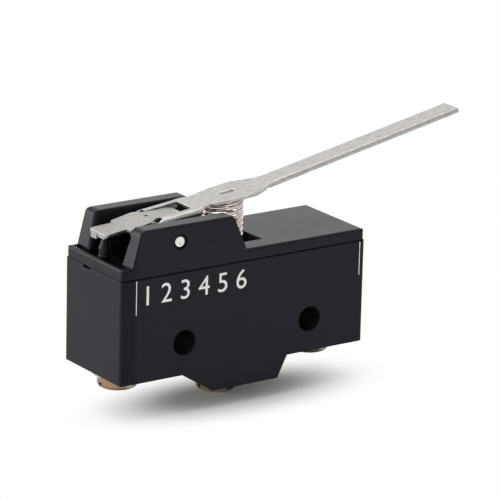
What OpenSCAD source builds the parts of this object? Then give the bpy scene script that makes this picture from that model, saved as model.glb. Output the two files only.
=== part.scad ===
// Reverse-action hinge-lever basic switch with three screw terminals.
//
// A coil spring holds the long lever up, so that the short leaf on the other side of the hinge
// pin keeps the plunger pressed in. Pushing the lever down lets the plunger rise, and the snap
// blade inside changes over.
//
// Origin: midway between the two mounting-hole centres, half-way through the case.
// +X points to the free end of the lever, +Y away from the marked side, +Z up.

/* [Case] */
// Length of the case
case_length = 49.2; // [48.8:0.1:49.6]
// Width of the case, across the mounting faces
case_width = 17.45; // [17:0.05:18]
// Shift of the case's middle from the middle of the mounting holes
case_shift = -0.6; // [-0.7:0.1:-0.5]
// Level of the flat underside, below the mounting-hole centres
case_bottom = -5.7; // [-5.9:0.1:-5.5]
// Level of the seam between the case and its cover
case_top = 12.3; // [12.1:0.1:12.5]
// Level of the underside of the middle terminal's boss
boss_bottom = -9.5; // [-9.7:0.1:-9.3]
// Radius of the case's upright corners
case_corner_r = 0.6; // [0.4:0.1:1]

/* [Mounting] */
// Distance between the mounting-hole centres
hole_pitch = 25.4; // [25.2:0.1:25.6]
// Diameter of the mounting holes
hole_d = 4.3; // [4.1:0.1:4.5]
// Diameter of the posts inside the case that carry the mounting holes
post_d = 7.2; // [6.6:0.1:7.4]

/* [Cover] */
// Step inwards from the case's sides to the cover's sides
cover_inset = 0.15; // [0.1:0.05:0.3]
// Level of the cover's deck
deck_top = 14.3; // [14.1:0.1:14.4]
// Radius along the cover's upper edges
deck_edge_r = 0.45; // [0.3:0.05:0.7]
// Level of the top of the two cheeks
cheek_top = 20.45; // [20.2:0.05:20.8]
// Half the width of the gap between the cheeks, at the deck
gap_half = 4.85; // [4.7:0.05:5]
// Half the width of the gap between the cheeks, at their top
gap_half_top = 5.6; // [5.2:0.05:5.8]
// Level of the floor of the deep pocket
pocket_floor = 11.2; // [11.1:0.1:11.5]

/* [Hinge] */
// Distance of the hinge pin from the middle, along the case
pin_x = -13.7; // [-13.9:0.05:-13.6]
// Height of the hinge pin above the mounting-hole centres
pin_z = 17.55; // [17.4:0.05:17.7]
// Diameter of the hinge pin
pin_d = 1.96; // [1.9:0.01:2]

/* [Lever] */
// Thickness of the lever's sheet
lever_t = 0.55; // [0.5:0.05:0.6]
// Rise of the web, in degrees
web_angle = 6.6; // [6.4:0.1:6.8]
// Further rise of the arm from the web, in degrees
arm_bend = 4.8; // [4.2:0.1:5.2]
// Height of the web's upper face above the hinge pin, square to the web
web_rise = 2.62; // [2.58:0.01:2.66]
// Distance along the web from the hinge pin to the bend
web_length = 20.6; // [20.4:0.05:20.8]
// Length of the arm, from the bend to its tip
arm_length = 42.5; // [38:0.1:48]
// Half the width of the arm, over its flanges
arm_half = 2.15; // [2.05:0.05:2.3]
// Depth of the arm's turned-down edges
arm_flange = 0.78; // [0.7:0.01:1]

/* [Actuating leaf] */
// Thickness of the leaf's sheet
leaf_t = 0.5; // [0.45:0.01:0.55]
// Half the width of the leaf, over its ears
leaf_half = 3.2; // [3.1:0.05:3.2]

/* [Return spring] */
// Diameter of the spring's wire
spring_wire_d = 0.56; // [0.5:0.01:0.58]
// Mean radius of the spring's coils
spring_r = 3.35; // [3.1:0.05:3.5]
// Number of turns
spring_turns = 11; // [9:1:11]
// Distance of the spring's axis from the middle, along the case
spring_x = 0.25; // [0.1:0.05:0.5]

/* [Plunger] */
// Distance of the plunger's axis from the middle, along the case
plunger_x = -22.95; // [-23:0.05:-22.85]
// Radius of the plunger's guided stem
plunger_r = 0.95; // [0.9:0.01:0.95]

/* [Terminals] */
// Distance of the common terminal's screw from the middle
common_x = -20.2; // [-20.3:0.1:-20.1]
// Distance of the middle terminal's screw from the middle
middle_x = -0.3; // [-0.4:0.1:-0.2]
// Distance of the end terminal's screw from the middle
end_x = 19; // [18.9:0.1:19]
// Radius of the terminal screws' heads
head_r = 3.45; // [3.2:0.05:3.5]
// Height of the terminal screws' heads
head_h = 2.25; // [2:0.05:2.4]
// Thickness of the terminals' brass strip
strip_t = 0.8; // [0.7:0.05:0.8]

/* [Hidden] */
$fn = 64;

eps = 0.01;                       // overlap that joins the pieces of one solid
case_x0 = case_shift - case_length / 2;
case_x1 = case_shift + case_length / 2;
case_y = case_width / 2;
cavity_x0 = case_x0 + 1.1;
cavity_x1 = case_x1 - 2;
cavity_y = case_y - 1.9;
cavity_floor = case_bottom + 2.3;
boss_floor = boss_bottom + 2.7;
boss_slope = [-12.9, -6.8, 6.4, 8.3];   // x of the boss's four lower corners
well_half = 4.5;                  // half the width of the well inside the boss

cover_x0 = case_x0 + cover_inset;
cover_x1 = case_x1 - cover_inset;
cover_y = case_y - cover_inset;
rim_t = 0.75;                     // thickness of the thin wall round the plunger's end
pocket_x0 = cover_x0 + rim_t;
pocket_x1 = 5.2;
ledge_x = -19.5;                  // where the plunger's shallow recess drops into the deep pocket
ledge_floor = 13.2;
cheek_x0 = -22.95;                // ends of the cheeks at the deck
cheek_x1 = -0.4;
cheek_lean0 = 0.26;               // lean of the cheeks' ends, sideways for each unit of height
cheek_lean1 = 0.44;
cheek_inner_r = 0.8;               // of the cheeks' inner corners beside the plunger
plug_x0 = -21.5;                  // the cover's plug, which sits inside the case's mouth
tub_bottom = pocket_floor - 1.2;
fit = 0.05;                       // clearance of sliding and turning fits

// Terminal pads, washers and screws, measured down from the face that they sit against
pad_sink = 0.7;
pad_t = 0.9;
pad_half_x = 3.6;
pad_half_y = 4;
washer_t = 0.6;
washer_r = 4.3;
screw_r = 1.95;
screw_len = 3.1;
slot_w = 0.9;
slot_depth = 1.1;

// The snap mechanism
blade_z = 6;                      // underside of the blade
blade_t = 0.25;
blade_x0 = -22.5;
blade_x1 = 20.6;
blade_y = 3.4;
contact_x = 19;
contact_r = 1.6;
rivet_r = 0.88;
shelf_z = 3.8;                    // underside of the strips that pass over the posts
shelf_t = 0.6;
lower_face = 5.27;                // contact faces
upper_face = 8;
upper_shelf_z = 8.8;
leg_x = -23.2;                    // outer face of the common terminal's leg
anchor_x = -8;                    // outer face of the blade's anchor
tongue_tip = [-7.45, 4.8];
tongue_root = [8.2, 6.12];
tongue_bow = 1.8;

// Point lists -----------------------------------------------------------------------------

function unit(v) = v / norm(v);

// Points of a round of radius r that replaces the corner b between a and c
function round_corner(a, b, c, r, n = 6) =
    let (u = unit(a - b),
         v = unit(c - b),
         half = acos(u * v) / 2,
         centre = b + unit(u + v) * r / sin(half),
         from = b + u * r / tan(half) - centre,
         to = b + v * r / tan(half) - centre,
         start = atan2(from.y, from.x),
         turn = (atan2(to.y, to.x) - start + 540) % 360 - 180)
    [for (i = [0:n]) centre + r * [cos(start + turn * i / n), sin(start + turn * i / n)]];

// Outline whose points are [x, y, corner radius], as plain points
function rounded(p, n = 6) =
    let (k = len(p))
    [for (i = [0:k - 1])
        let (a = p[(i + k - 1) % k], b = p[i], c = p[(i + 1) % k])
        each (b.z > 0
            ? round_corner([a.x, a.y], [b.x, b.y], [c.x, c.y], b.z, n)
            : [[b.x, b.y]])];

// One side of an outline, closed by its mirror image across y = 0
function both_sides(p) = concat(p, [for (i = [len(p) - 1:-1:0]) [p[i].x, -p[i].y, p[i].z]]);

// Strip of thickness t under a line of points that runs towards +x
function strip_under(p, t) = concat(p, [for (i = [len(p) - 1:-1:0]) [p[i].x, p[i].y - t]]);

// Placing ---------------------------------------------------------------------------------

// Extrudes a profile drawn in x and z, from y0 to y1
module along_y(y0, y1) {
    translate([0, y1, 0]) rotate([90, 0, 0]) linear_extrude(y1 - y0) children();
}

// Extrudes a profile drawn in y and z, from x0 to x1
module along_x(x0, x1) {
    translate([x0, 0, 0]) rotate([90, 0, 90]) linear_extrude(x1 - x0) children();
}

// Block between two corners
module block(a, b) {
    translate(a) cube(b - a);
}

// Block of half width half_y on both sides of the middle plane
module slab(x0, x1, half_y, z0, z1) {
    block([x0, -half_y, z0], [x1, half_y, z1]);
}

// Upright cylinder between two levels
module post(x, y, r, z0, z1) {
    translate([x, y, z0]) cylinder(r = r, h = z1 - z0);
}

// Cylinder along y, centred on the middle plane
module cross_bar(x, z, r, length) {
    translate([x, 0, z]) rotate([90, 0, 0]) cylinder(r = r, h = length, center = true);
}

// Both copies of a piece that stands on each side of the middle plane
module each_side() {
    children();
    mirror([0, 1, 0]) children();
}

// Rectangle with round corners
module round_rect(x0, x1, half_y, r) {
    polygon(rounded([[x0, -half_y, r], [x1, -half_y, r], [x1, half_y, r], [x0, half_y, r]], 8));
}

// Case ------------------------------------------------------------------------------------

module case_side_profile() {
    polygon([[case_x0, case_top], [case_x0, case_bottom],
             [boss_slope[0], case_bottom], [boss_slope[1], boss_bottom],
             [boss_slope[2], boss_bottom], [boss_slope[3], case_bottom],
             [case_x1, case_bottom], [case_x1, case_top]]);
}

module case_cavity() {
    slab(cavity_x0, cavity_x1, cavity_y, cavity_floor, case_top + 1);
    slab(-well_half, well_half, well_half, boss_floor, cavity_floor + 1);
}

// Seat of a terminal's pad, with the screw's hole above it
module pad_seat(x, face) {
    slab(x - pad_half_x - 0.2, x + pad_half_x + 0.2, pad_half_y + 0.2, face - 1, face + pad_sink);
    post(x, 0, screw_r + 0.1, face, face + 3.4);
}

// Slot in a floor for a terminal's leg
module leg_slot(x, face) {
    slab(x, x + strip_t, pad_half_y, face, face + 4);
}

module case() {
    color("#26262a")
    difference() {
        intersection() {
            along_y(-case_y, case_y) case_side_profile();
            translate([0, 0, boss_bottom - 1])
                linear_extrude(case_top - boss_bottom + 2)
                    round_rect(case_x0, case_x1, case_y, case_corner_r);
        }
        difference() {
            case_cavity();
            for (x = [-hole_pitch / 2, hole_pitch / 2])
                cross_bar(x, 0, post_d / 2, 2 * case_y);
        }
        for (x = [-hole_pitch / 2, hole_pitch / 2])
            cross_bar(x, 0, hole_d / 2, case_width + 2);
        pad_seat(common_x, case_bottom);
        pad_seat(end_x, case_bottom);
        pad_seat(middle_x, boss_bottom);
        leg_slot(leg_x, case_bottom);
        leg_slot(cavity_x1 - 0.1 - strip_t, case_bottom);
        leg_slot(middle_x + pad_half_x - strip_t, boss_bottom);
        // Notch in the end wall for prising the cover off
        block([case_x0 - 1, 0.9, case_top - 0.4], [case_x0 + 0.6, 3.1, case_top + 1]);
    }
}

// Cover -----------------------------------------------------------------------------------

// Cross-section of the deck, with its upper edges rounded
module deck_section() {
    polygon(rounded([[-cover_y, case_top, 0], [cover_y, case_top, 0],
                     [cover_y, deck_top, deck_edge_r], [-cover_y, deck_top, deck_edge_r]]));
}

module deck_length_profile() {
    polygon(rounded([[cover_x0, case_top, 0], [cover_x1, case_top, 0],
                     [cover_x1, deck_top, deck_edge_r], [cover_x0, deck_top, deck_edge_r]]));
}

module deck() {
    intersection() {
        along_x(cover_x0, cover_x1) deck_section();
        along_y(-cover_y, cover_y) deck_length_profile();
        translate([0, 0, case_top])
            linear_extrude(deck_top - case_top)
                round_rect(cover_x0, cover_x1, cover_y, case_corner_r - cover_inset / 2);
    }
}

module cheek_side_profile() {
    h = cheek_top - deck_top;
    drop = deck_top - ledge_floor;
    polygon(rounded([[cheek_x0 - cheek_lean0 * drop, ledge_floor, 0],
                     [cheek_x1 + cheek_lean1 * drop, ledge_floor, 0],
                     [cheek_x1 - cheek_lean1 * h, cheek_top, 1],
                     [cheek_x0 + cheek_lean0 * h, cheek_top, 1.3]], 8));
}

// Cross-section of one cheek, thinner towards its top
module cheek_section() {
    polygon(rounded([[gap_half, ledge_floor, 0], [cover_y, ledge_floor, 0],
                     [cover_y, cheek_top, 0.45], [gap_half_top, cheek_top, 0.3],
                     [gap_half, deck_top, 0]]));
}

// Rounds the inner corner of a cheek's end, following the lean of both faces
module inner_corner_cutter() {
    tilt = atan2(gap_half_top - gap_half, cheek_top - deck_top);
    r = cheek_inner_r;
    inset = r - 0.03;
    translate([cheek_x0, gap_half, deck_top])
        rotate([-tilt, atan(cheek_lean0), 0])
            translate([0, 0, -2])
                linear_extrude(cheek_top - deck_top + 4)
                    difference() {
                        translate([-1, -1]) square(inset + 1);
                        translate([inset, inset]) circle(r);
                    }
}

module cheeks() {
    each_side()
        difference() {
            intersection() {
                along_y(0, cover_y) cheek_side_profile();
                along_x(case_x0, case_x1) cheek_section();
            }
            inner_corner_cutter();
        }
}

module cover_pockets() {
    slab(ledge_x, pocket_x1, gap_half, pocket_floor, cheek_top);
    slab(pocket_x0, ledge_x + eps, gap_half, ledge_floor, cheek_top);
}

module cover() {
    color("#2b2b2f")
    difference() {
        union() {
            difference() {
                deck();
                // Recess round the plunger, wider than the gap between the cheeks
                slab(pocket_x0, cheek_x0 + 0.1, cover_y - rim_t, ledge_floor, cheek_top);
            }
            cheeks();
            slab(plug_x0, cavity_x1 - fit, cavity_y - fit, case_top - 0.8, case_top + eps);
            slab(ledge_x - 1, pocket_x1 + 1, gap_half + 1.2, tub_bottom, case_top);
        }
        cover_pockets();
        cross_bar(pin_x, pin_z, pin_d / 2 + 0.02, 2 * case_y);
        each_side()
            translate([pin_x, -cover_y - 1, pin_z])
                rotate([-90, 0, 0]) cylinder(r = pin_d / 2 + 0.3, h = 1.35);
        post(plunger_x, 0, plunger_r + fit, tub_bottom, deck_top);
    }
    // Stud that keeps the spring in its place
    color("#2b2b2f") post(spring_x, 0, 2, pocket_floor - eps, pocket_floor + 0.8);
}

// Hinge pin -------------------------------------------------------------------------------

module hinge_pin() {
    chamfer = 0.15;
    dimple_r = 0.55;              // centre mark in each end
    dimple_depth = 0.12;
    half = cover_y - 0.12;
    color("#d8d6d0")
    translate([pin_x, half, pin_z]) rotate([90, 0, 0])
        rotate_extrude()
            polygon([[0, dimple_depth], [dimple_r, 0], [pin_d / 2 - chamfer, 0],
                     [pin_d / 2, chamfer], [pin_d / 2, 2 * half - chamfer],
                     [pin_d / 2 - chamfer, 2 * half], [dimple_r, 2 * half],
                     [0, 2 * half - dimple_depth]]);
}

// Lever -----------------------------------------------------------------------------------

ear_half = 3.85;                  // over the ears
ear_gap = 2.3;                    // half the width of the window between the rails
ear_r = 2.3;                      // of the ears' round ends, about the pin
rail_start = 0.35;
window_end = 6.65;
ear_end = 8.25;
slot_x0 = 13.8;                   // the slot that holds the spring's tab
slot_x1 = 16.7;
slot_half = 0.45;

// Section of a folded channel, its top at height zero, open underneath
module channel_section(half, depth, t, r) {
    difference() {
        polygon(rounded([[-half, -depth, 0], [half, -depth, 0], [half, 0, r], [-half, 0, r]]));
        polygon(rounded([[t - half, -depth - 1, 0], [half - t, -depth - 1, 0],
                         [half - t, -t, r / 3], [t - half, -t, r / 3]], 3));
    }
}

// Side view of the ears: round over the pin and sloping up to the web
module ear_profile() {
    circle(ear_r);
    polygon([[0, web_rise], [ear_end, web_rise], [ear_end - 0.9, web_rise - 1.3],
             [1.1, 0.2 - ear_r], [-ear_r, 0], [-0.9 * ear_r, web_rise - 1.2]]);
}

module rails_and_ears() {
    difference() {
        intersection() {
            along_x(-web_rise, ear_end)
                translate([0, web_rise]) channel_section(ear_half, 2 * web_rise, lever_t, 0.7);
            along_y(-ear_half, ear_half) ear_profile();
        }
        slab(-2 * web_rise, window_end, ear_gap, 0, web_rise + 1);
        slab(-2 * web_rise, rail_start, ear_half - lever_t, 0, web_rise + 1);
        cross_bar(0, 0, pin_d / 2 + fit, 4 * ear_half);
    }
}

// Lugs folded in from the ears, which lift the leaf's tongue
module lugs() {
    each_side() block([3.9, 1.3, 1.1], [4.9, ear_half - lever_t + eps, 1.62]);
}

bend_half = 3.15;                 // half the width where the arm bends up from the web

module web() {
    translate([0, 0, web_rise - lever_t]) linear_extrude(lever_t)
        difference() {
            polygon(rounded(both_sides([
                [window_end - eps, ear_half - 0.5, 0], [ear_end - 0.3, ear_half - 0.5, 0.5],
                [9.7, 2.9, 0.8], [14.1, 3.8, 3], [18.5, 4.05, 1.5],
                [web_length + eps, bend_half, 0]])));
            translate([slot_x0, -slot_half])
                square([slot_x1 - slot_x0, 2 * slot_half + lever_t - eps]);
        }
    // Tab cut from the slot and folded down into the spring, with a round fold
    translate([0, 0, web_rise])
        along_x(slot_x0 + 0.1, slot_x1 - 0.1)
            polygon(rounded([[slot_half, -lever_t - 1, 0], [slot_half + lever_t, -lever_t - 1, 0],
                             [slot_half + lever_t, 0, 0], [slot_half, 0, 0.45]]));
}

module arm() {
    shoulder_end = 1.8;
    translate([web_length, 0, web_rise]) rotate([0, -arm_bend, 0]) {
        translate([0, 0, -lever_t]) linear_extrude(lever_t)
            polygon(rounded(both_sides([[-eps, bend_half, 0], [0.6, 2.88, 0.8],
                                        [shoulder_end, arm_half, 1],
                                        [shoulder_end + 1, arm_half, 0]])));
        along_x(shoulder_end, arm_length)
            channel_section(arm_half, arm_flange, lever_t - 0.05, 0.4);
    }
}

module lever() {
    color("#c4c0bc")
    translate([pin_x, 0, pin_z]) rotate([0, -web_angle, 0]) {
        rails_and_ears();
        lugs();
        web();
        arm();
    }
}

// Actuating leaf --------------------------------------------------------------------------

leaf_line = [[-24.55, 18.72], [-20.1, 19.15], [-15.4, 20.08], [-9, 20.27]];
leaf_end = -9;

module leaf_ear_profile() {
    translate([pin_x, pin_z]) circle(1.7);
    polygon([[-20, 19.05], [-19.75, 17.9], [-16.2, 16.1], [-14.3, 15.85],
             [-12.2, 16.8], [-12.35, 18.6], [-15.2, 19.8], [-16.6, 19.75]]);
}

module plunger_leaf() {
    lip_x = leaf_line[0].x;
    lip_z = 17.9;
    color("#cbc8c3")
    difference() {
        union() {
            intersection() {
                along_y(-leaf_half, leaf_half) polygon(strip_under(leaf_line, leaf_t));
                linear_extrude(2 * cheek_top)
                    polygon(rounded(both_sides([
                        [lip_x, 2.6, 0.6], [-20.6, 2.25, 0.5], [-20.15, 2.4, 0],
                        [-19.95, leaf_half, 0.3], [-15.9, leaf_half, 0.5],
                        [-14.3, 2, 0.5], [leaf_end, 2, 1.3]])));
            }
            // Turned-down lip in two tangs, the far one longer
            block([lip_x, -2.1, lip_z], [lip_x + leaf_t, -0.2, leaf_line[0].y - 0.1]);
            block([lip_x, 0.3, lip_z - 0.5], [lip_x + leaf_t, 2, leaf_line[0].y - 0.1]);
            each_side()
                along_y(leaf_half - leaf_t, leaf_half)
                    leaf_ear_profile();
        }
        cross_bar(pin_x, pin_z, pin_d / 2 + fit, 4 * leaf_half);
        // Small pierced hole
        post(-14.9, 0, 0.45, 15, cheek_top + 2);
    }
}

// Return spring ---------------------------------------------------------------------------

spring_steps = 26;                // rings to a turn
spring_sides = 8;
spring_foot = pocket_floor + spring_wire_d / 2 + 0.02;
web_under = pin_z + tan(web_angle) * (spring_x - pin_x) + (web_rise - lever_t) / cos(web_angle);
spring_head = web_under - spring_wire_d / 2 / cos(web_angle) - 0.04;

// Height along the spring: the end turns lie close, the others share what is left
function spring_s(turn) =
    let (last = spring_turns - 1, close = spring_wire_d * 1.05 / (spring_head - spring_foot))
    turn < 1 ? close * turn
             : turn > last ? 1 - close * (spring_turns - turn)
                           : close + (1 - 2 * close) * (turn - 1) / (last - 1);

// Middle of the wire; the turns lean with the web towards their upper end
function spring_at(turn) =
    let (s = spring_s(turn), a = 360 * turn)
    [spring_x + spring_r * cos(a), spring_r * sin(a),
     spring_foot + (spring_head - spring_foot) * s + s * s * tan(web_angle) * spring_r * cos(a)];

function spring_ring(turn) =
    let (a = 360 * turn, c = spring_at(turn))
    [for (i = [0:spring_sides - 1])
        let (b = 360 * (i + 0.5) / spring_sides)
        c + spring_wire_d / 2 * [cos(b) * cos(a), cos(b) * sin(a), sin(b)]];

module return_spring() {
    rings = spring_turns * spring_steps;
    points = [for (k = [0:rings]) each spring_ring(k / spring_steps)];
    sides = [for (k = [0:rings - 1], i = [0:spring_sides - 1])
                let (j = (i + 1) % spring_sides, a = k * spring_sides, b = a + spring_sides)
                [a + i, b + i, b + j, a + j]];
    ends = [[for (i = [0:spring_sides - 1]) i],
            [for (i = [spring_sides - 1:-1:0]) rings * spring_sides + i]];
    color("#b98a72") polyhedron(points, concat(sides, ends));
}

// Plunger ---------------------------------------------------------------------------------

arm_z0 = 7.2;                     // the foot that reaches along the blade
arm_z1 = 8.4;
nose_x = -16.8;
tip_z = 18.31;

module plunger() {
    collar_z = 14.45;
    collar_r = 1.2;
    body_r = 1.08;
    color("#3a3a3e") {
        translate([plunger_x, 0, 0])
            rotate_extrude()
                polygon([[0, arm_z0], [plunger_r, arm_z0], [plunger_r, collar_z - 0.35],
                         [collar_r, collar_z - 0.2], [collar_r, collar_z],
                         [body_r, collar_z + 0.15], [body_r, 15.7], [0.45, 17.7],
                         [0.38, tip_z - 0.15], [0.22, tip_z], [0, tip_z]]);
        difference() {
            union() {
                slab(plunger_x, nose_x, 1.4, arm_z0, arm_z1);
                cross_bar(nose_x, arm_z0, 0.87, 2.8);
                slab(nose_x - 0.87, nose_x + 0.87, 1.4, arm_z0, arm_z1);
            }
            slab(nose_x - 2, nose_x + 2, 3, arm_z0 - 2, blade_z + blade_t + 0.03);
        }
    }
}

// Snap blade and contacts -------------------------------------------------------------------

// Curved strip between two points, bowed upwards
module bowed_strip(a, b, bow, t) {
    chord = norm(b - a);
    r = (chord * chord / 4 + bow * bow) / (2 * bow);
    tilt = atan2(b.y - a.y, b.x - a.x);
    half = asin(chord / 2 / r);
    translate((a + b) / 2) rotate(tilt) translate([0, bow - r])
        intersection() {
            difference() {
                circle(r + t / 2, $fn = 180);
                circle(r - t / 2, $fn = 180);
            }
            polygon([[0, 0], 2 * r * [-sin(half), cos(half)], 2 * r * [sin(half), cos(half)]]);
        }
}

module snap_blade() {
    color("#c9a25a") {
        translate([0, 0, blade_z]) linear_extrude(blade_t)
            difference() {
                polygon(rounded(both_sides([[blade_x0, blade_y, 0], [9, blade_y, 1],
                                            [12.5, 2.2, 1], [blade_x1, 2.2, 1]])));
                translate([-15.2, -1.9]) square([tongue_root.x + 15.2 - 0.8, 3.8]);
                translate([contact_x, 0]) circle(rivet_r);
            }
        cross_bar(blade_x0, blade_z + blade_t / 2, blade_t / 2, 2 * blade_y);
        along_y(-1.5, 1.5) bowed_strip(tongue_tip, tongue_root, tongue_bow, blade_t);
    }
}

// Rivet-shaped contact: a head with a broken edge, its shank and a clenched tail
module contact_rivet(face, seat, back, tail) {
    dir = sign(seat - face);
    edge = 0.15;
    translate([contact_x, 0, 0])
        rotate_extrude()
            polygon([[0, face], [contact_r - edge, face], [contact_r, face + dir * edge],
                     [contact_r, seat], [rivet_r, seat], [rivet_r, back],
                     [1.25, back], [1.25, back + dir * tail * 0.6],
                     [0.9, back + dir * tail], [0, back + dir * tail]]);
}

module moving_contact() {
    top = blade_z + blade_t;
    color("#dcdcd8") contact_rivet(lower_face + 0.03, blade_z, top, 0.7);
}

module lower_contact() {
    color("#dcdcd8") contact_rivet(lower_face, shelf_z + shelf_t, shelf_z, 0.35);
}

module upper_contact() {
    color("#dcdcd8") contact_rivet(upper_face, upper_shelf_z, upper_shelf_z + shelf_t, 0.35);
}

// Terminals -------------------------------------------------------------------------------

// Pad under the case that the screw is threaded into
module pad(x, x0, x1, face) {
    z1 = face + pad_sink;
    difference() {
        slab(x0, x1, pad_half_y, z1 - pad_t, z1);
        post(x, 0, screw_r + 0.03, z1 - pad_t - 1, z1 + 1);
    }
}

module common_terminal() {
    leg_half = 3.9;
    shelf_half = 1.9;
    leg_top = 7;
    color("#c8a652")
    difference() {
        union() {
            pad(common_x, leg_x, common_x + pad_half_x, case_bottom);
            slab(leg_x, leg_x + strip_t, leg_half, case_bottom, leg_top);
            slab(leg_x, anchor_x + shelf_t, shelf_half, shelf_z, shelf_z + shelf_t);
            slab(anchor_x, anchor_x + shelf_t, shelf_half, shelf_z, 6);
        }
        // Opening between the two prongs that the blade hinges on
        slab(leg_x - 1, leg_x + 2, shelf_half + 0.1, shelf_z + shelf_t, leg_top + 1);
        // Notches for the end of the blade and the tip of its tongue
        along_y(-leg_half - 1, leg_half + 1)
            polygon([[leg_x + strip_t - 0.4, blade_z + blade_t / 2],
                     [leg_x + strip_t + 0.2, blade_z - 0.5], [leg_x + strip_t + 0.2, blade_z + 0.8]]);
        along_y(-3, 3)
            polygon([[anchor_x + shelf_t - 0.35, tongue_tip.y + 0.6],
                     [anchor_x + shelf_t - 0.35, tongue_tip.y - 0.3],
                     [anchor_x + shelf_t + 0.1, tongue_tip.y - 0.35],
                     [anchor_x + shelf_t + 0.1, tongue_tip.y + 0.9]]);
    }
}

module upper_terminal() {
    leg_x1 = cavity_x1 - 0.1;
    half = 2.5;
    color("#c8a652") {
        pad(end_x, end_x - pad_half_x, leg_x1, case_bottom);
        slab(leg_x1 - strip_t, leg_x1, half, case_bottom, upper_shelf_z + shelf_t);
        difference() {
            slab(contact_x - 2.2, leg_x1, half, upper_shelf_z, upper_shelf_z + shelf_t);
            post(contact_x, 0, rivet_r, upper_shelf_z - 1, upper_shelf_z + 2);
        }
    }
}

module lower_terminal() {
    half = 2.2;
    leg_x1 = middle_x + pad_half_x;
    color("#c8a652") {
        pad(middle_x, middle_x - pad_half_x, leg_x1, boss_bottom);
        slab(leg_x1 - strip_t, leg_x1, half, boss_bottom, shelf_z + shelf_t);
        difference() {
            slab(leg_x1 - strip_t, blade_x1, half, shelf_z, shelf_z + shelf_t);
            post(contact_x, 0, rivet_r, shelf_z - 1, shelf_z + 2);
        }
    }
}

// Binding-head screw, pointing up into its terminal
module terminal_screw(x, face) {
    z = face + pad_sink - pad_t - washer_t;
    color("#b08a4e")
    difference() {
        translate([x, 0, z])
            rotate_extrude()
                polygon(concat([[0, -head_h], [head_r - 0.9, -head_h]],
                               [for (a = [-75:15:0])
                                    [head_r - 0.8, 0.8 - head_h] + 0.8 * [cos(a), sin(a)]],
                               [[head_r, 0], [screw_r, 0], [screw_r, screw_len - 0.5],
                                [screw_r - 0.5, screw_len], [0, screw_len]]));
        block([x - head_r - 1, -slot_w / 2, z - head_h - 1],
              [x + head_r + 1, slot_w / 2, z - head_h + slot_depth]);
    }
}

// Plain washer with broken edges, which clamps the bare wire
module wire_washer(x, face) {
    z1 = face + pad_sink - pad_t;
    z0 = z1 - washer_t;
    edge = 0.15;
    color("#d9d8d4")
    translate([x, 0, 0])
        rotate_extrude()
            polygon([[screw_r + 0.2, z0], [washer_r - edge, z0], [washer_r, z0 + edge],
                     [washer_r, z1 - edge], [washer_r - edge, z1], [screw_r + 0.2, z1]]);
}

module common_screw() { terminal_screw(common_x, case_bottom); }
module lower_screw() { terminal_screw(middle_x, boss_bottom); }
module upper_screw() { terminal_screw(end_x, case_bottom); }
module common_washer() { wire_washer(common_x, case_bottom); }
module lower_washer() { wire_washer(middle_x, boss_bottom); }
module upper_washer() { wire_washer(end_x, case_bottom); }

case();
cover();
hinge_pin();
lever();
plunger_leaf();
return_spring();
plunger();
snap_blade();
moving_contact();
upper_contact();
lower_contact();
common_terminal();
upper_terminal();
lower_terminal();
common_screw();
lower_screw();
upper_screw();
common_washer();
lower_washer();
upper_washer();
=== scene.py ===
"""Looks of a hinge-lever basic switch, laid over its packed construction.

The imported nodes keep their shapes. This file gives each of them its finish, winds the return
spring smoothly, prints the marks on the side and sets up the floor, the lamps and the camera.
"""

import math

import bpy
from bpy.props import (
    FloatProperty,
    FloatVectorProperty,
    IntProperty,
    PointerProperty,
    StringProperty,
)
from mathutils import Matrix, Vector


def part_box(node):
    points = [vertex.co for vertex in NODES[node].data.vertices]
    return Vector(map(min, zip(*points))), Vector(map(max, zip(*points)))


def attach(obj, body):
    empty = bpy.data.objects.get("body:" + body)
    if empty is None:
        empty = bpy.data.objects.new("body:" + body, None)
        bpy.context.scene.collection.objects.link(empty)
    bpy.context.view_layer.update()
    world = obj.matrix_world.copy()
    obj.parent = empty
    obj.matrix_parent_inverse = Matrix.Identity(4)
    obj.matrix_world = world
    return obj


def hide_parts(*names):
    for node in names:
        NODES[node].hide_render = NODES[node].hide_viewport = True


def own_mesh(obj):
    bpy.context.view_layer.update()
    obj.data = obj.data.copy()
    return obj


bl_info = {
    "name": "Lever switch looks",
    "version": (1, 0, 0),
    "blender": (4, 5, 0),
    "location": "View3D > Sidebar > Lever switch",
    "description": "Finishes, spring, printed marks and studio of a hinge-lever basic switch",
    "category": "Object",
}

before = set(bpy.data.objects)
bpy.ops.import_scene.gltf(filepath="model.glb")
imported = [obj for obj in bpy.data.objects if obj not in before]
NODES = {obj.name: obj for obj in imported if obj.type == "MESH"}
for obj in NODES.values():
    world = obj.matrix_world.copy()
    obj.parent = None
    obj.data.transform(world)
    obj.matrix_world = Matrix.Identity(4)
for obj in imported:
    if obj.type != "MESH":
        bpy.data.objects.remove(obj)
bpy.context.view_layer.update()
MM = 0.001

# Inputs and output of a Mix node that mixes colours
FIRST, SECOND, MIXED = 6, 7, 2


def srgb(text):
    """Linear colour of an sRGB hex value."""
    parts = [int(text[i : i + 2], 16) / 255 for i in (1, 3, 5)]
    return tuple(c / 12.92 if c <= 0.04045 else ((c + 0.055) / 1.055) ** 2.4 for c in parts) + (1.0,)


# Values that a user would change ----------------------------------------------------------


def length(name, description, default):
    return FloatProperty(name=name, description=description, default=default, min=0.0,
                         precision=5, subtype="DISTANCE", unit="LENGTH")


def colour(name, description, default):
    return FloatVectorProperty(name=name, description=description, default=srgb(default), size=4,
                               min=0.0, max=1.0, subtype="COLOR")


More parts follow.
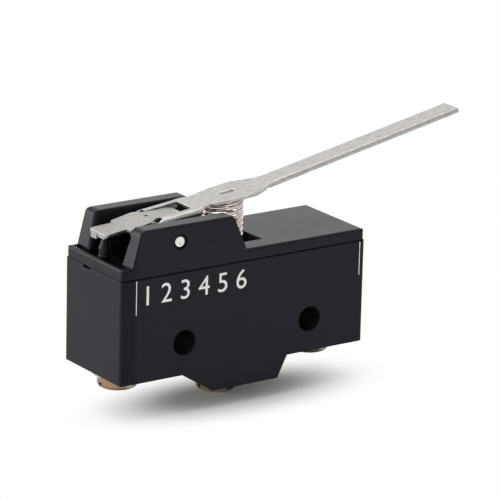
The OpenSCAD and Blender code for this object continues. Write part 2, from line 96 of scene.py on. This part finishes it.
class SwitchSpring(bpy.types.PropertyGroup):
    """Sizes of the return spring."""

    wire: length("Wire", "Diameter of the spring's wire", 0.56 * MM)
    radius: length("Coil radius", "Radius of the coils, to the middle of the wire", 3.35 * MM)
    turns: IntProperty(name="Turns", description="Number of turns", default=11, min=4, max=14)
    sides: IntProperty(name="Wire sides", description="Faces round the wire", default=14, min=8)
    steps: IntProperty(name="Steps", description="Rings to a turn", default=64, min=24)
    lean: FloatProperty(name="Lean", description="Slope of the web that the spring's top meets",
                        default=math.radians(6.6), min=0.0, max=0.5, subtype="ANGLE")


class SwitchMarks(bpy.types.PropertyGroup):
    """Sizes and wording of the printed marks."""

    figures: StringProperty(name="Figures", description="Plain numbers printed on the side",
                            default="1 2 3 4 5 6")
    height: length("Height", "Height of the figures", 3.45 * MM)
    film: length("Film", "Thickness of the ink", 0.015 * MM)
    line: length("Line", "Width of the two end lines", 0.15 * MM)
    line_length: length("Line length", "Height of the two end lines", 5.9 * MM)


class SwitchColours(bpy.types.PropertyGroup):
    """Colours of the finishes."""

    case: colour("Case", "Black phenolic of the case", "#17171d")
    cover: colour("Cover", "Black phenolic of the cover", "#18181d")
    plunger: colour("Plunger", "Near-black of the plunger", "#131316")
    steel: colour("Stainless steel", "Lever and leaf", "#bcb9b6")
    pin: colour("Pin", "Ground pin", "#f8f6f3")
    wire: colour("Spring wire", "Copper-washed wire", "#f0e2da")
    blade: colour("Blade", "Beryllium copper", "#d0a468")
    silver: colour("Silver", "Contacts", "#e6e5e1")
    brass: colour("Brass", "Terminals", "#cfae5e")
    zinc: colour("Zinc", "Washers", "#cfcfcb")
    # Each screw's two colours are the film's tint with painted reflection, highlight and shade,
    # drifting across the head
    yellow_film_left: colour("Yellow film, left", "Left screw, outer part", "#a98c6e")
    yellow_screw_painted_reflection: colour("Yellow screw, painted reflection", "Left screw, inner part", "#f4f0e8")
    green_film_and_painted_highlight: colour("Green film and painted highlight", "Middle screw, left part", "#d8c994")
    green_film_and_painted_shade: colour("Green film and painted shade", "Middle screw, right part", "#54786b")
    olive_film_and_painted_shade: colour("Olive film and painted shade", "Right screw, left part", "#5f5f4c")
    olive_film_and_painted_highlight: colour("Olive film and painted highlight", "Right screw, right part", "#9c9c8a")
    ink: colour("Ink", "Printed marks", "#f6f6f4")
    floor: colour("Floor", "Studio floor", "#f4f4f4")


# Nodes ------------------------------------------------------------------------------------


def add(tree, kind, inputs=None, **settings):
    """Adds a node; inputs are constants or the sockets that feed it."""
    node = tree.nodes.new(kind)
    for name, value in settings.items():
        setattr(node, name, value)
    for key, value in (inputs or {}).items():
        if isinstance(value, bpy.types.NodeSocket):
            tree.links.new(value, node.inputs[key])
        else:
            node.inputs[key].default_value = value
    return node


def blank(name):
    """A material with an empty tree, and its output node."""
    material = bpy.data.materials.new(name)
    material.use_nodes = True
    tree = material.node_tree
    tree.nodes.clear()
    return material, tree, tree.nodes.new("ShaderNodeOutputMaterial")


def shade(colour_value, factor):
    """The same colour, lighter or darker."""
    return tuple(min(1.0, c * factor) for c in colour_value[:3]) + (1.0,)


def rounded_edges(tree, radius_mm, samples, begin, full):
    """Normal over softly rounded edges, and where those edges are, from 0 to 1.

    A point counts as edge from the cosine begin of its normal's turn, and fully from full.
    """
    rounded = add(tree, "ShaderNodeBevel", {"Radius": radius_mm * MM}, samples=samples).outputs[0]
    flat = add(tree, "ShaderNodeNewGeometry").outputs["Normal"]
    turn = add(tree, "ShaderNodeVectorMath", {0: rounded, 1: flat}, operation="DOT_PRODUCT")
    rim = add(tree, "ShaderNodeMapRange", {"Value": turn.outputs["Value"], "From Min": begin,
                                           "From Max": full})
    return rounded, rim.outputs[0]


def straight_at(tree):
    """One where the camera sees a surface directly or through glass, and nought in reflections."""
    path = add(tree, "ShaderNodeLightPath")
    return add(tree, "ShaderNodeMath", {0: path.outputs["Is Camera Ray"],
                                        1: path.outputs["Is Transmission Ray"]},
               operation="MAXIMUM").outputs[0]


# Finishes ---------------------------------------------------------------------------------


def phenolic(name, node, base, grain, gloss, mirror):
    """Black phenolic (thermoset) moulding from a polished tool.

    To the eye: almost black, a soft satin sheen at low angles, faint clouds of flow in the
    resin. Painted shade: the edges of the long sides are near-black and the long sides reflect less
    over their first 3 mm. The other edges are painted lighter: wear with a painted highlight.
    """
    material, tree, out = blank(name)
    place = add(tree, "ShaderNodeTexCoord").outputs["Object"]
    # Flow clouds of about 4 mm
    cloud = add(tree, "ShaderNodeTexNoise", {"Vector": place, "Scale": 1 / (4 * MM), "Detail": 4.0,
                                             "Roughness": 0.55}).outputs["Fac"]
    # Fine pits of 0.12 mm in the real moulding, drawn at 0.3 mm so that they show
    pits = add(tree, "ShaderNodeTexNoise", {"Vector": place, "Scale": 1 / (0.3 * MM), "Detail": 3.0,
                                            "Roughness": 0.6}).outputs["Fac"]
    rounded, rim = rounded_edges(tree, 0.3, 8, 0.985, 0.87)

    # Edges of the long sides get painted shade, a near-black line; the other edges are painted
    # lighter, as wear with a painted highlight
    rounded_y = add(tree, "ShaderNodeSeparateXYZ", {0: rounded}).outputs[1]
    across = add(tree, "ShaderNodeMath", {0: rounded_y}, operation="ABSOLUTE").outputs[0]
    long_side = add(tree, "ShaderNodeMapRange", {"Value": across, "From Min": 0.2,
                                                 "From Max": 0.4}).outputs[0]
    painted_shade_edges = add(tree, "ShaderNodeMath", {0: rim, 1: long_side}, operation="MULTIPLY").outputs[0]
    wear_and_highlight_edges = add(tree, "ShaderNodeMath", {0: rim, 1: painted_shade_edges}, operation="SUBTRACT").outputs[0]
    tone = add(tree, "ShaderNodeMix", {0: cloud, FIRST: shade(base, 0.75),
                                       SECOND: shade(base, 1.3)}, data_type="RGBA")
    # Painted highlight, with wear: the other edges are lighter
    tone = add(tree, "ShaderNodeMix", {0: wear_and_highlight_edges, FIRST: tone.outputs[MIXED],
                                       SECOND: shade(base, 2.5)}, data_type="RGBA")
    # Painted shade: the edges of the long sides are near-black
    tone = add(tree, "ShaderNodeMix", {0: painted_shade_edges, FIRST: tone.outputs[MIXED],
                                       SECOND: shade(base, 0.15)}, data_type="RGBA")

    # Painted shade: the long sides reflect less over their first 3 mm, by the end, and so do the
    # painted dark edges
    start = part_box(node)[0].x
    place_x = add(tree, "ShaderNodeSeparateXYZ", {0: place}).outputs[0]
    first_part = add(tree, "ShaderNodeMapRange", {"Value": place_x, "From Min": start + 2.4 * MM,
                                                  "From Max": start + 3.4 * MM, "To Min": 1.0,
                                                  "To Max": 0.0}).outputs[0]
    flat = add(tree, "ShaderNodeNewGeometry").outputs["Normal"]
    flat_y = add(tree, "ShaderNodeSeparateXYZ", {0: flat}).outputs[1]
    flat_y = add(tree, "ShaderNodeMath", {0: flat_y}, operation="ABSOLUTE").outputs[0]
    side = add(tree, "ShaderNodeMath", {0: flat_y, 1: 0.7}, operation="GREATER_THAN").outputs[0]
    dull = add(tree, "ShaderNodeMath", {0: first_part, 1: side}, operation="MULTIPLY").outputs[0]
    dull = add(tree, "ShaderNodeMath", {0: dull, 1: 0.5}, operation="MULTIPLY").outputs[0]
    dull = add(tree, "ShaderNodeMath", {0: dull, 1: painted_shade_edges}, operation="MAXIMUM").outputs[0]
    level = add(tree, "ShaderNodeMapRange", {"Value": dull, "To Min": mirror,
                                             "To Max": 0.2 * mirror})
    rough = add(tree, "ShaderNodeMapRange", {"Value": cloud, "From Min": 0.3, "From Max": 0.7,
                                             "To Min": gloss - 0.05, "To Max": gloss + 0.05})
    bump = add(tree, "ShaderNodeBump", {"Height": pits, "Strength": grain,
                                        "Distance": 0.02 * MM, "Normal": rounded})
    skin = add(tree, "ShaderNodeBsdfPrincipled", {"Base Color": tone.outputs[MIXED], "IOR": 1.5,
                                                  "Roughness": rough.outputs[0],
                                                  "Specular IOR Level": level.outputs[0],
                                                  "Specular Tint": (0.87, 0.87, 1.0, 1.0),
                                                  "Normal": bump.outputs[0]})
    tree.links.new(skin.outputs[0], out.inputs[0])
    return material


def sheet_metal(name, base, rough, grain_mm, stretch, depth):
    """Metal sheet, wire or bar: a metal colour, fine lines of rolling or drawing and soft edges.

    The lines run along X, grain_mm apart, and are stretch times as long as they are wide.
    """
    material, tree, out = blank(name)
    place = add(tree, "ShaderNodeTexCoord").outputs["Object"]
    along = add(tree, "ShaderNodeMapping", {"Vector": place, "Scale": (1 / stretch, 1.0, 1.0)})
    lines = add(tree, "ShaderNodeTexNoise", {"Vector": along.outputs[0],
                                             "Scale": 1 / (grain_mm * MM), "Detail": 4.0,
                                             "Roughness": 0.65}).outputs["Fac"]
    # Dull and bright patches of about 2.5 mm, from tumbling and handling
    patch = add(tree, "ShaderNodeTexNoise", {"Vector": place, "Scale": 1 / (2.5 * MM),
                                             "Detail": 3.0}).outputs["Fac"]
    grain = add(tree, "ShaderNodeMapRange", {"Value": lines, "From Min": 0.35, "From Max": 0.65})
    dull = add(tree, "ShaderNodeMapRange", {"Value": patch, "From Min": 0.3, "From Max": 0.7,
                                            "To Min": rough - 0.06, "To Max": rough + 0.08})
    # Painted highlight: the edges are painted lighter
    rounded, rim = rounded_edges(tree, 0.14, 6, 0.98, 0.8)
    tone = add(tree, "ShaderNodeMix", {0: grain.outputs[0], FIRST: shade(base, 0.78),
                                       SECOND: shade(base, 1.2)}, data_type="RGBA")
    tone = add(tree, "ShaderNodeMix", {0: rim, FIRST: tone.outputs[MIXED],
                                       SECOND: shade(base, 2.0)}, data_type="RGBA")
    bump = add(tree, "ShaderNodeBump", {"Height": lines, "Strength": depth,
                                        "Distance": 0.01 * MM, "Normal": rounded})
    skin = add(tree, "ShaderNodeBsdfPrincipled", {"Base Color": tone.outputs[MIXED],
                                                  "Metallic": 1.0, "Roughness": dull.outputs[0],
                                                  "Normal": bump.outputs[0]})
    tree.links.new(skin.outputs[0], out.inputs[0])
    return material


def chromate(name, node, left, right, patch_mm):
    """Zinc-plated steel with a coloured chromate film.

    To the eye: bright metal of a strong tint that drifts between two colours across the head; the
    drift is the film's tint with painted reflection, highlight and shade in it.
    """
    low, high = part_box(node)
    middle = (low.x + high.x) / 2
    material, tree, out = blank(name)
    place = add(tree, "ShaderNodeTexCoord").outputs["Object"]
    film = add(tree, "ShaderNodeTexNoise", {"Vector": place, "Scale": 1 / (patch_mm * MM),
                                            "Detail": 2.0}).outputs["Fac"]
    # Painted reflection, highlight and shade: the tint drifts from one side of the head to the other
    # along X
    across = add(tree, "ShaderNodeSeparateXYZ", {0: place}).outputs[0]
    side = add(tree, "ShaderNodeMapRange", {"Value": across, "From Min": middle - 3 * MM,
                                            "From Max": middle + 3 * MM}).outputs[0]
    uneven = add(tree, "ShaderNodeMath", {0: side, 1: film}, operation="ADD").outputs[0]
    drift = add(tree, "ShaderNodeMapRange", {"Value": uneven, "From Min": 0.9, "From Max": 1.15})
    tone = add(tree, "ShaderNodeMix", {0: drift.outputs[0], FIRST: tuple(left),
                                       SECOND: tuple(right)}, data_type="RGBA")
    # Turning marks of 0.15 mm
    marks = add(tree, "ShaderNodeTexNoise", {"Vector": place, "Scale": 1 / (0.15 * MM),
                                             "Detail": 2.0}).outputs["Fac"]
    rounded = add(tree, "ShaderNodeBevel", {"Radius": 0.1 * MM}, samples=4).outputs[0]
    bump = add(tree, "ShaderNodeBump", {"Height": marks, "Strength": 0.25,
                                        "Distance": 0.01 * MM, "Normal": rounded})
    skin = add(tree, "ShaderNodeBsdfPrincipled", {"Base Color": tone.outputs[MIXED],
                                                  "Metallic": 1.0, "Roughness": 0.18,
                                                  "Normal": bump.outputs[0]})
    tree.links.new(skin.outputs[0], out.inputs[0])
    return material


def ink(name, base):
    """Screen-printed white ink: matt, thin in places, a little speckled."""
    material, tree, out = blank(name)
    place = add(tree, "ShaderNodeTexCoord").outputs["Object"]
    # Specks of about 0.25 mm, where the mesh of the screen left less ink
    speck = add(tree, "ShaderNodeTexNoise", {"Vector": place, "Scale": 1 / (0.25 * MM),
                                             "Detail": 4.0}).outputs["Fac"]
    covered = add(tree, "ShaderNodeMapRange", {"Value": speck, "From Min": 0.25, "From Max": 0.5})
    tone = add(tree, "ShaderNodeMix", {0: covered.outputs[0], FIRST: shade(base, 0.6),
                                       SECOND: tuple(base)}, data_type="RGBA")
    skin = add(tree, "ShaderNodeBsdfPrincipled", {"Base Color": tone.outputs[MIXED], "IOR": 1.48,
                                                  "Roughness": 0.6})
    tree.links.new(skin.outputs[0], out.inputs[0])
    return material


def paper(name, base):
    """Matt white paper that runs out into plain white away from the switch, for the camera only."""
    # The floor keeps the switch's rendered shadow in an oval round a point a little in front of its
    # middle; outside it, white for the camera is painted over the shadow, and a little of it inside
    long_to_wide = 2.4
    forward = 4 * MM
    material, tree, out = blank(name)
    place = add(tree, "ShaderNodeTexCoord").outputs["Object"]
    # Fibres of about 1.5 mm
    fibre = add(tree, "ShaderNodeTexNoise", {"Vector": place, "Scale": 1 / (1.5 * MM)})
    tone = add(tree, "ShaderNodeMix", {0: fibre.outputs["Fac"], FIRST: shade(base, 0.99),
                                       SECOND: tuple(base)}, data_type="RGBA")
    sheet = add(tree, "ShaderNodeBsdfDiffuse", {"Color": tone.outputs[MIXED]})
    oval = add(tree, "ShaderNodeVectorMath", {0: place, 1: (1 / long_to_wide, 1.0, 0.0),
                                              2: (0.0, forward, 0.0)}, operation="MULTIPLY_ADD")
    reach = add(tree, "ShaderNodeVectorMath", {0: oval.outputs[0]}, operation="LENGTH")
    blank_share = add(tree, "ShaderNodeMapRange", {"Value": reach.outputs["Value"],
                                                   "From Min": 4 * MM, "From Max": 14 * MM,
                                                   "To Min": 0.02},
                      interpolation_type="SMOOTHSTEP").outputs[0]
    white = add(tree, "ShaderNodeEmission", {"Strength": 1.0})
    share = add(tree, "ShaderNodeMath", {0: straight_at(tree), 1: blank_share},
                operation="MULTIPLY")
    surface = add(tree, "ShaderNodeMixShader", {0: share.outputs[0], 1: sheet.outputs[0],
                                                2: white.outputs[0]})
    tree.links.new(surface.outputs[0], out.inputs[0])
    return material


# Modelling --------------------------------------------------------------------------------


def select_only(piece):
    """Selects the piece and nothing else, and makes it the active one."""
    bpy.ops.object.select_all(action="DESELECT")
    piece.select_set(True)
    bpy.context.view_layer.objects.active = piece


def active(name):
    """Names the object that an operator has just added."""
    piece = bpy.context.view_layer.objects.active
    piece.name = name
    piece.data.name = name
    return piece


def settle(piece):
    """Puts the piece's place into its mesh."""
    select_only(piece)
    bpy.ops.object.transform_apply(location=True, rotation=True, scale=True)


def coat(piece, material):
    """Gives the piece one material."""
    piece.data.materials.clear()
    piece.data.materials.append(material)


class SwitchOperator:
    """What every operator of this file shares."""

    bl_options = {"REGISTER", "UNDO"}


class SWITCH_OT_finishes(SwitchOperator, bpy.types.Operator):
    """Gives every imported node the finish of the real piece"""

    bl_idname = "switch.finishes"
    bl_label = "Finish the packed nodes"

    def execute(self, context):
        look = context.scene.switch_colours
        silver = sheet_metal("silver_contact", look.silver, 0.25, 0.2, 1, 0.3)
        brass = sheet_metal("rolled_brass_strip", look.brass, 0.32, 0.12, 14, 0.4)
        zinc = sheet_metal("zinc_plated_washer", look.zinc, 0.28, 0.2, 1, 0.4)
        finishes = {
            "case": phenolic("phenolic_moulding_case", "case", look.case, 0.35, 0.4, 0.2),
            "cover": phenolic("phenolic_moulding_cover", "cover", look.cover, 0.35, 0.22, 0.2),
            "plunger": phenolic("acetal_plunger", "plunger", look.plunger, 0.2, 0.14, 0.2),
            "lever": sheet_metal("rolled_stainless_strip", look.steel, 0.34, 0.3, 6, 0.6),
            "plunger_leaf": sheet_metal("tumbled_stainless_leaf", shade(look.steel, 0.82), 0.4,
                                        0.28, 1.5, 1.0),
            "hinge_pin": sheet_metal("ground_steel_pin", look.pin, 0.22, 0.1, 1, 0.3),
            "return_spring": sheet_metal("copper_washed_wire_solid", look.wire, 0.25, 0.2, 1, 0.2),
            "snap_blade": sheet_metal("beryllium_copper_strip", look.blade, 0.3, 0.1, 14, 0.4),
            "common_screw": chromate("yellow_chromate_screw", "common_screw", look.yellow_film_left,
                                     look.yellow_screw_painted_reflection, 2.2),
            "lower_screw": chromate("green_chromate_screw", "lower_screw", look.green_film_and_painted_highlight,
                                    look.green_film_and_painted_shade, 2.5),
            "upper_screw": chromate("olive_chromate_screw", "upper_screw", look.olive_film_and_painted_shade,
                                    look.olive_film_and_painted_highlight, 2.2),
            "moving_contact": silver, "upper_contact": silver, "lower_contact": silver,
            "common_terminal": brass, "upper_terminal": brass, "lower_terminal": brass,
            "common_washer": zinc, "lower_washer": zinc, "upper_washer": zinc,
        }
        for name, node in NODES.items():
            if not node.material_slots:
                raise RuntimeError(f"{name} has no material slot")
            for material_slot in node.material_slots:
                material_slot.material = finishes[name]
        return {"FINISHED"}


class SWITCH_OT_return_spring(SwitchOperator, bpy.types.Operator):
    """Winds the return spring from one ring of wire, close at its ends and leaning with the web"""

    bl_idname = "switch.return_spring"
    bl_label = "Wind the return spring"

    def execute(self, context):
        size = context.scene.switch_spring
        low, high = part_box("return_spring")
        axis_x = (low.x + high.x) / 2
        slope = math.tan(size.lean)
        foot = low.z + size.wire / 2
        head = high.z - size.wire / 2 - slope * size.radius
        # Pitch of the first, even winding, in which neighbouring turns can't touch
        even_pitch = 3 * size.wire
        bpy.ops.object.select_all(action="DESELECT")
        bpy.ops.mesh.primitive_circle_add(vertices=size.sides, radius=size.wire / 2,
                                          location=(0, 0, 0), rotation=(math.pi / 2, 0, 0))
        spring = active("return_spring_wire")
        settle(spring)
        bpy.ops.object.mode_set(mode="EDIT")
        bpy.ops.mesh.select_all(action="SELECT")
        bpy.ops.transform.translate(value=(size.radius, 0, 0))
        bpy.ops.object.mode_set(mode="OBJECT")
        wind = spring.modifiers.new("wind", "SCREW")
        wind.axis = "Z"
        wind.screw_offset = even_pitch
        wind.iterations = size.turns
        wind.steps = size.steps
        wind.render_steps = size.steps
        wind.use_smooth_shade = True
        bpy.ops.object.modifier_apply(modifier="wind")
        bpy.ops.object.mode_set(mode="EDIT")
        bpy.ops.mesh.select_all(action="SELECT")
        bpy.ops.mesh.fill_holes(sides=0)
        bpy.ops.mesh.select_all(action="SELECT")
        bpy.ops.mesh.normals_make_consistent(inside=False)
        bpy.ops.object.mode_set(mode="OBJECT")

        # Share the height out between the turns: the first and the last lie close
        close = 1.05 * size.wire / (head - foot)
        last = size.turns - 1
        for vertex in spring.data.vertices:
            part = math.atan2(vertex.co.y, vertex.co.x) / (2 * math.pi) % 1.0
            turn = round(vertex.co.z / even_pitch - part) + part
            off_centre = vertex.co.z - turn * even_pitch
            if turn < 1:
                share = close * turn
            elif turn > last:
                share = 1 - close * (size.turns - turn)
            else:
                share = close + (1 - 2 * close) * (turn - 1) / (last - 1)
            centre = foot + (head - foot) * share
            vertex.co.z = centre + off_centre + share * share * slope * vertex.co.x
            vertex.co.x += axis_x
        bpy.ops.object.shade_smooth_by_angle(angle=math.radians(50))
        coat(spring, sheet_metal("copper_washed_drawn_wire", context.scene.switch_colours.wire,
                                 0.12, 0.15, 1, 0.1))
        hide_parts("return_spring")
        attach(spring, "housing")
        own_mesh(spring)
        return {"FINISHED"}


class SWITCH_OT_marks(SwitchOperator, bpy.types.Operator):
    """Prints plain numbers and two thin lines on the side of the case"""

    bl_idname = "switch.marks"
    bl_label = "Print the side"

    def execute(self, context):
        size = context.scene.switch_marks
        white = ink("screen_printed_ink", context.scene.switch_colours.ink)
        on_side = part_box("case")[0].y - size.film / 2
        # A capital's height, as a part of the font's size
        cap_share = 0.72
        bpy.ops.object.select_all(action="DESELECT")
        bpy.ops.object.text_add(location=(0, 0, 0))
        figures = active("printed_figures")
        figures.data.body = size.figures
        figures.data.size = size.height / cap_share
        figures.data.extrude = size.film / 2
        figures.data.align_x = "LEFT"
        select_only(figures)
        bpy.ops.object.convert(target="MESH")
        figures = active("printed_figures")
        figures.rotation_euler = (math.pi / 2, 0, 0)
        figures.location = (-21.3 * MM, on_side, 7.7 * MM)
        settle(figures)
        coat(figures, white)
        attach(figures, "housing")
        for name, x in (("printed_line_left", -22.3 * MM), ("printed_line_right", 22.9 * MM)):
            bpy.ops.object.select_all(action="DESELECT")
            bpy.ops.mesh.primitive_cube_add(size=1, location=(x, on_side, 9.2 * MM),
                                            scale=(size.line, size.film, size.line_length))
            bar = active(name)
            settle(bar)
            # Round the line's corners, which are its four edges through the film
            bpy.ops.object.mode_set(mode="EDIT")
            bpy.ops.mesh.select_mode(type="EDGE")
            bpy.ops.mesh.select_all(action="DESELECT")
            bpy.ops.object.mode_set(mode="OBJECT")
            for edge in bar.data.edges:
                one, other = (bar.data.vertices[index].co for index in edge.vertices)
                edge.select = abs(one.y - other.y) > size.film / 2
            bpy.ops.object.mode_set(mode="EDIT")
            bpy.ops.mesh.bevel(offset=0.4 * size.line, segments=3, affect="EDGES")
            bpy.ops.object.mode_set(mode="OBJECT")
            coat(bar, white)
            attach(bar, "housing")
        return {"FINISHED"}


# Studio -----------------------------------------------------------------------------------

# The camera's place and aim, its turn about its own line of sight, and its lens
EYE = Vector((-338.7, -495.9, 194.6)) * MM
AIM = Vector((6.2, 0, 10.9)) * MM
ROLL = math.radians(1.43)
LENS, SENSOR = 267.5, 36

# The soft boxes: name, place, width and power in watts. All face the same point.
SOFT_BOXES = (
    ("softbox_top", Vector((-0.02, 0.14, 0.66)), 0.6, 1.8),
    ("softbox_left", Vector((-0.7, 0.1, 0.25)), 0.4, 1.0),
    ("softbox_back", Vector((-0.5, 0.72, 0.22)), 0.45, 1.7),
)
LIT_POINT = Vector((0.004, 0, 0.008))


def lay_floor(scene):
    """A pale paper floor under the screw that stands lowest."""
    floor_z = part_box("lower_screw")[0].z
    bpy.ops.object.select_all(action="DESELECT")
    bpy.ops.mesh.primitive_plane_add(size=4.0, location=(0, 0, floor_z))
    floor = active("studio_floor")
    settle(floor)
    coat(floor, paper("matt_paper_floor", scene.switch_colours.floor))


def surround(scene):
    """White surroundings, which give off a plain, lower light of their own."""
    world = bpy.data.worlds.new("studio_surroundings")
    scene.world = world
    world.use_nodes = True
    tree = world.node_tree
    tree.nodes.clear()
    out = add(tree, "ShaderNodeOutputWorld")
    plain = add(tree, "ShaderNodeBackground", {"Color": (1, 1, 1, 1), "Strength": 0.65})
    white = add(tree, "ShaderNodeBackground", {"Color": (1, 1, 1, 1), "Strength": 1.0})
    # Reflections show white too, but the studio's front and roof are dim, which gives bent
    # metal its dark lines
    sky = add(tree, "ShaderNodeTexCoord").outputs["Generated"]
    toward = add(tree, "ShaderNodeVectorMath", {0: sky, 1: (0.1, -0.75, 0.65)},
                 operation="DOT_PRODUCT")
    dim = add(tree, "ShaderNodeMapRange", {"Value": toward.outputs["Value"], "From Min": 0.35,
                                           "From Max": 0.65, "To Min": 1.0, "To Max": 0.65})
    mirrored = add(tree, "ShaderNodeBackground", {"Color": (1, 1, 1, 1),
                                                  "Strength": dim.outputs[0]})
    path = add(tree, "ShaderNodeLightPath")
    mix = add(tree, "ShaderNodeMixShader", {0: path.outputs["Is Glossy Ray"],
                                            1: plain.outputs[0], 2: mirrored.outputs[0]})
    mix = add(tree, "ShaderNodeMixShader", {0: straight_at(tree), 1: mix.outputs[0],
                                            2: white.outputs[0]})
    tree.links.new(mix.outputs[0], out.inputs[0])


def hang_soft_boxes(scene):
    """Three wide, weak lamps above, at the left and behind."""
    for name, place, width, power in SOFT_BOXES:
        lamp = bpy.data.lights.new(name, "AREA")
        lamp.shape = "SQUARE"
        lamp.size = width
        lamp.energy = power
        holder = bpy.data.objects.new(name, lamp)
        scene.collection.objects.link(holder)
        holder.location = place
        holder.rotation_euler = (LIT_POINT - place).to_track_quat("-Z", "Y").to_euler()


def stand_camera(scene):
    """The camera, a long lens from the left, the front and a little above."""
    forward = (AIM - EYE).normalized()
    level = forward.cross(Vector((0, 0, 1))).normalized()
    upright = level.cross(forward)
    right = level * math.cos(ROLL) + upright * math.sin(ROLL)
    up = upright * math.cos(ROLL) - level * math.sin(ROLL)
    camera = bpy.data.objects.new("camera", bpy.data.cameras.new("camera"))
    scene.collection.objects.link(camera)
    turn = Matrix((right, up, -forward)).transposed()
    camera.matrix_world = Matrix.Translation(EYE) @ turn.to_4x4()
    camera.data.sensor_width = SENSOR
    camera.data.lens = LENS
    camera.data.clip_start = 0.01
    camera.data.clip_end = 20
    scene.camera = camera


class SWITCH_OT_stage(SwitchOperator, bpy.types.Operator):
    """Sets up the pale floor, the soft lamps, the white surroundings and the camera"""

    bl_idname = "switch.stage"
    bl_label = "Set up the studio"

    def execute(self, context):
        lay_floor(context.scene)
        surround(context.scene)
        hang_soft_boxes(context.scene)
        stand_camera(context.scene)
        context.scene.view_settings.view_transform = "Standard"
        return {"FINISHED"}


class SWITCH_PT_panel(bpy.types.Panel):
    """Lists the sizes, the colours and the steps"""

    bl_idname = "SWITCH_PT_panel"
    bl_label = "Lever switch"
    bl_space_type = "VIEW_3D"
    bl_region_type = "UI"
    bl_category = "Lever switch"

    def draw(self, context):
        layout = self.layout
        for group in GROUPS:
            values = getattr(context.scene, group)
            box = layout.box()
            for name in values.__annotations__:
                box.prop(values, name)
        for operator in OPERATORS:
            layout.operator(operator.bl_idname)


OPERATORS = (SWITCH_OT_stage, SWITCH_OT_finishes, SWITCH_OT_return_spring, SWITCH_OT_marks)
GROUPS = {"switch_spring": SwitchSpring, "switch_marks": SwitchMarks,
          "switch_colours": SwitchColours}


def register():
    for group in GROUPS.values():
        bpy.utils.register_class(group)
    for name, group in GROUPS.items():
        setattr(bpy.types.Scene, name, PointerProperty(type=group))
    for item in (*OPERATORS, SWITCH_PT_panel):
        bpy.utils.register_class(item)


def unregister():
    for item in (SWITCH_PT_panel, *reversed(OPERATORS)):
        bpy.utils.unregister_class(item)
    for name, group in GROUPS.items():
        delattr(bpy.types.Scene, name)
        bpy.utils.unregister_class(group)


def main():
    register()
    bpy.ops.switch.stage()
    bpy.ops.switch.finishes()
    bpy.ops.switch.return_spring()
    bpy.ops.switch.marks()


if __name__ == "__main__":
    main()
